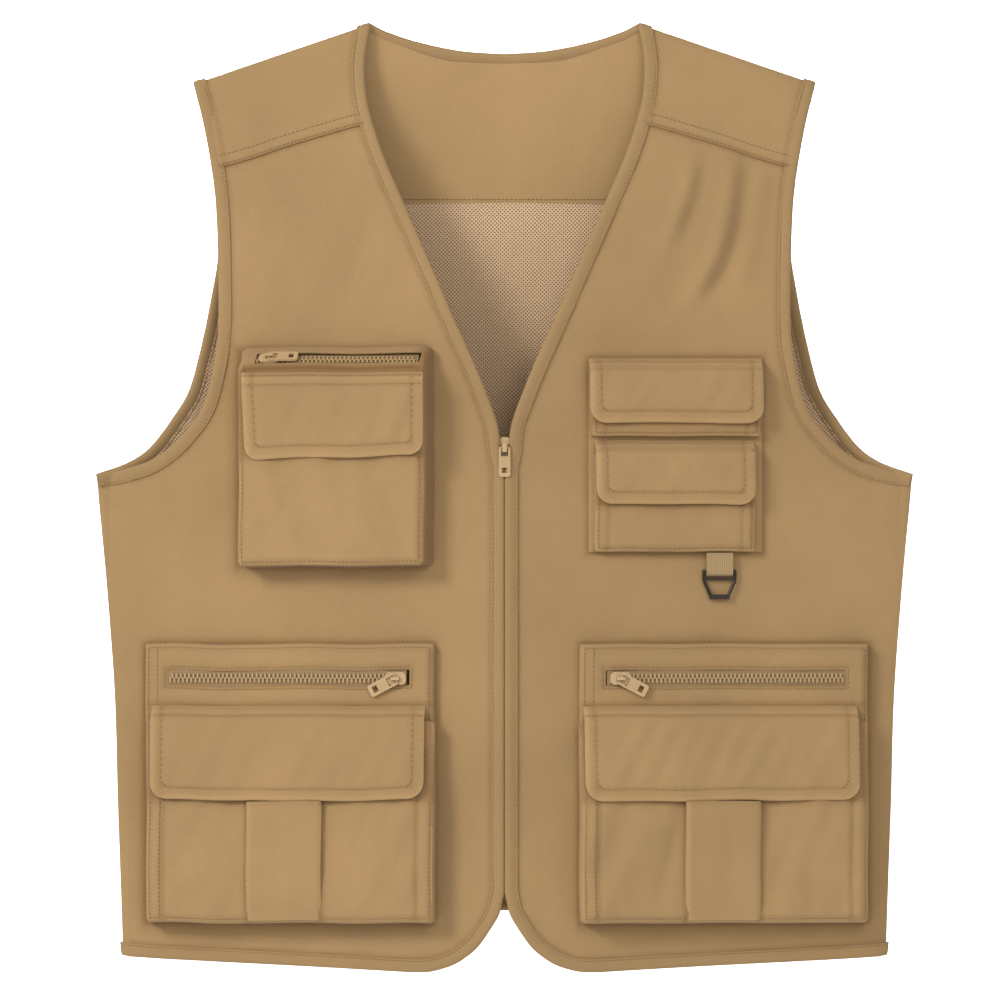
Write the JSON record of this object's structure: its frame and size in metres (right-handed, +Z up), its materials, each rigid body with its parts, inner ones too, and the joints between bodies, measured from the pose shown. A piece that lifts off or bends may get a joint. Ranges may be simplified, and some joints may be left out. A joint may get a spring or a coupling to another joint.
{
  "type": "fishing vest",
  "caption": "Sleeveless zip-front fishing vest in canvas, with a box chest pocket, a double patch pocket, cargo pockets with flaps and a D-ring tab.",
  "frame": {"origin": "on the centre plane at the height of the neck points, where a hanger carries the shoulders", "axes": "+Z up, the front faces -Y, +X towards the wearer's left"},
  "size_m": [0.574, 0.1004, 0.6663],
  "materials": {
    "shell": "khaki cotton canvas, plain weave, matt",
    "trim": "khaki canvas bindings and bands, topstitched",
    "lining": "tan knitted mesh with small holes",
    "zip_tape": "khaki woven zip tape",
    "zip_teeth": "tan moulded plastic teeth",
    "zip_slider": "tan enamelled metal, satin",
    "hook_loop": "tan hook-and-loop tape",
    "webbing": "khaki ribbed webbing",
    "d_ring": "dark gunmetal, satin"
  },
  "bodies": {
    "root": {"back_panel": "shell", "back_yoke_facing": "shell", "back_mesh_lining": "lining", "shoulder_yoke_right": "shell", "shoulder_yoke_left": "shell", "neck_binding": "trim", "armhole_binding_back_right": "trim", "armhole_binding_back_left": "trim", "back_hem_band": "trim"},
    "front_right": {"front_panel_right": "shell", "front_edge_band_right": "trim", "armhole_binding_front_right": "trim", "main_zip_tape_right": "zip_tape", "main_zip_teeth_right": "zip_teeth", "insertion_pin": "zip_teeth", "chest_box_pocket": "shell", "chest_box_zip_tape": "zip_tape", "chest_box_zip_teeth": "zip_teeth", "chest_box_loop_tape": "hook_loop", "cargo_right_backing": "shell", "cargo_right_bag": "shell", "cargo_right_zip_tape": "zip_tape", "cargo_right_zip_teeth": "zip_teeth", "cargo_right_loop_tape": "hook_loop"},
    "front_left": {"front_panel_left": "shell", "front_edge_band_left": "trim", "armhole_binding_front_left": "trim", "main_zip_tape_left": "zip_tape", "main_zip_teeth_left": "zip_teeth", "retainer_box": "zip_teeth", "chest_patch_backing": "shell", "chest_patch_upper_bag": "shell", "chest_patch_lower_bag": "shell", "chest_patch_loop_tapes": "hook_loop", "webbing_tab": "webbing", "cargo_left_backing": "shell", "cargo_left_bag": "shell", "cargo_left_zip_tape": "zip_tape", "cargo_left_zip_teeth": "zip_teeth", "cargo_left_loop_tape": "hook_loop"},
    "main_slider": {"main_slider": "zip_slider"},
    "main_pull": {"main_pull": "zip_slider"},
    "chest_box_slider": {"chest_box_slider": "zip_slider"},
    "chest_box_pull": {"chest_box_pull": "zip_slider"},
    "cargo_right_slider": {"cargo_right_slider": "zip_slider"},
    "cargo_right_pull": {"cargo_right_pull": "zip_slider"},
    "cargo_left_slider": {"cargo_left_slider": "zip_slider"},
    "cargo_left_pull": {"cargo_left_pull": "zip_slider"},
    "d_ring": {"d_ring": "d_ring"},
    "chest_box_flap": {"chest_box_flap": "shell", "chest_box_hook_tape": "hook_loop"},
    "cargo_right_flap": {"cargo_right_flap": "shell", "cargo_right_hook_tape": "hook_loop"},
    "cargo_left_flap": {"cargo_left_flap": "shell", "cargo_left_hook_tape": "hook_loop"},
    "chest_patch_upper_flap": {"chest_patch_upper_flap": "shell", "chest_patch_upper_hook_tape": "hook_loop"},
    "chest_patch_lower_flap": {"chest_patch_lower_flap": "shell", "chest_patch_lower_hook_tape": "hook_loop"}
  },
  "joints": [
    {"name": "front_right_open", "type": "hinge", "parent": "root", "child": "front_right", "pos_m": [-0.2638, -0.003, -0.45], "axis": [0, 0, -1], "range_deg": [0, 35]},
    {"name": "front_left_open", "type": "hinge", "parent": "root", "child": "front_left", "pos_m": [0.2638, -0.003, -0.45], "axis": [0, 0, 1], "range_deg": [0, 35]},
    {"name": "main_slide", "type": "slide", "parent": "front_left", "child": "main_slider", "axis": [0, 0, -1], "range_m": [0, 0.29]},
    {"name": "main_pull_swing", "type": "hinge", "parent": "main_slider", "child": "main_pull", "pos_m": [0, -0.0426, -0.298], "axis": [-1, 0, 0], "range_deg": [0, 150]},
    {"name": "cargo_right_slide", "type": "slide", "parent": "front_right", "child": "cargo_right_slider", "axis": [-0.9903, 0.1392, 0], "range_m": [0, 0.146]},
    {"name": "cargo_right_pull_swing", "type": "hinge", "parent": "cargo_right_slider", "child": "cargo_right_pull", "pos_m": [-0.07669, -0.04096, -0.4596], "axis": [-0.4649, 0.0653, 0.8829], "range_deg": [0, 140]},
    {"name": "cargo_left_slide", "type": "slide", "parent": "front_left", "child": "cargo_left_slider", "axis": [0.9903, 0.1392, 0], "range_m": [0, 0.145]},
    {"name": "cargo_left_pull_swing", "type": "hinge", "parent": "cargo_left_slider", "child": "cargo_left_pull", "pos_m": [0.08169, -0.04026, -0.4596], "axis": [-0.4649, -0.0653, -0.8829], "range_deg": [0, 140]},
    {"name": "chest_box_slide", "type": "slide", "parent": "front_right", "child": "chest_box_slider", "axis": [0.9903, -0.1392, 0], "range_m": [0, 0.096]},
    {"name": "chest_box_pull_swing", "type": "hinge", "parent": "chest_box_slider", "child": "chest_box_pull", "pos_m": [-0.16506, -0.03482, -0.23389], "axis": [-0.1092, -0.7772, -0.6196], "range_deg": [0, 140]},
    {"name": "chest_box_flap_lift", "type": "hinge", "parent": "front_right", "child": "chest_box_flap", "pos_m": [-0.1205, -0.0503, -0.2455], "axis": [-0.9903, 0.1392, 0], "range_deg": [0, 100]},
    {"name": "cargo_right_flap_lift", "type": "hinge", "parent": "front_right", "child": "cargo_right_flap", "pos_m": [-0.1528, -0.0291, -0.4795], "axis": [-0.9903, 0.1392, 0], "range_deg": [0, 100]},
    {"name": "cargo_left_flap_lift", "type": "hinge", "parent": "front_left", "child": "cargo_left_flap", "pos_m": [0.153, -0.02907, -0.4795], "axis": [-0.9903, -0.1392, 0], "range_deg": [0, 100]},
    {"name": "chest_patch_upper_flap_lift", "type": "hinge", "parent": "front_left", "child": "chest_patch_upper_flap", "pos_m": [0.121, -0.02559, -0.2365], "axis": [-0.9903, -0.1392, 0], "range_deg": [0, 100]},
    {"name": "chest_patch_lower_flap_lift", "type": "hinge", "parent": "front_left", "child": "chest_patch_lower_flap", "pos_m": [0.1201, -0.02572, -0.2934], "axis": [-0.9903, -0.1392, 0], "range_deg": [0, 100]},
    {"name": "d_ring_swing", "type": "hinge", "parent": "front_left", "child": "d_ring", "pos_m": [0.1509, -0.022, -0.3855], "axis": [-0.9903, -0.1392, 0], "range_deg": [0, 100]}
  ]
}
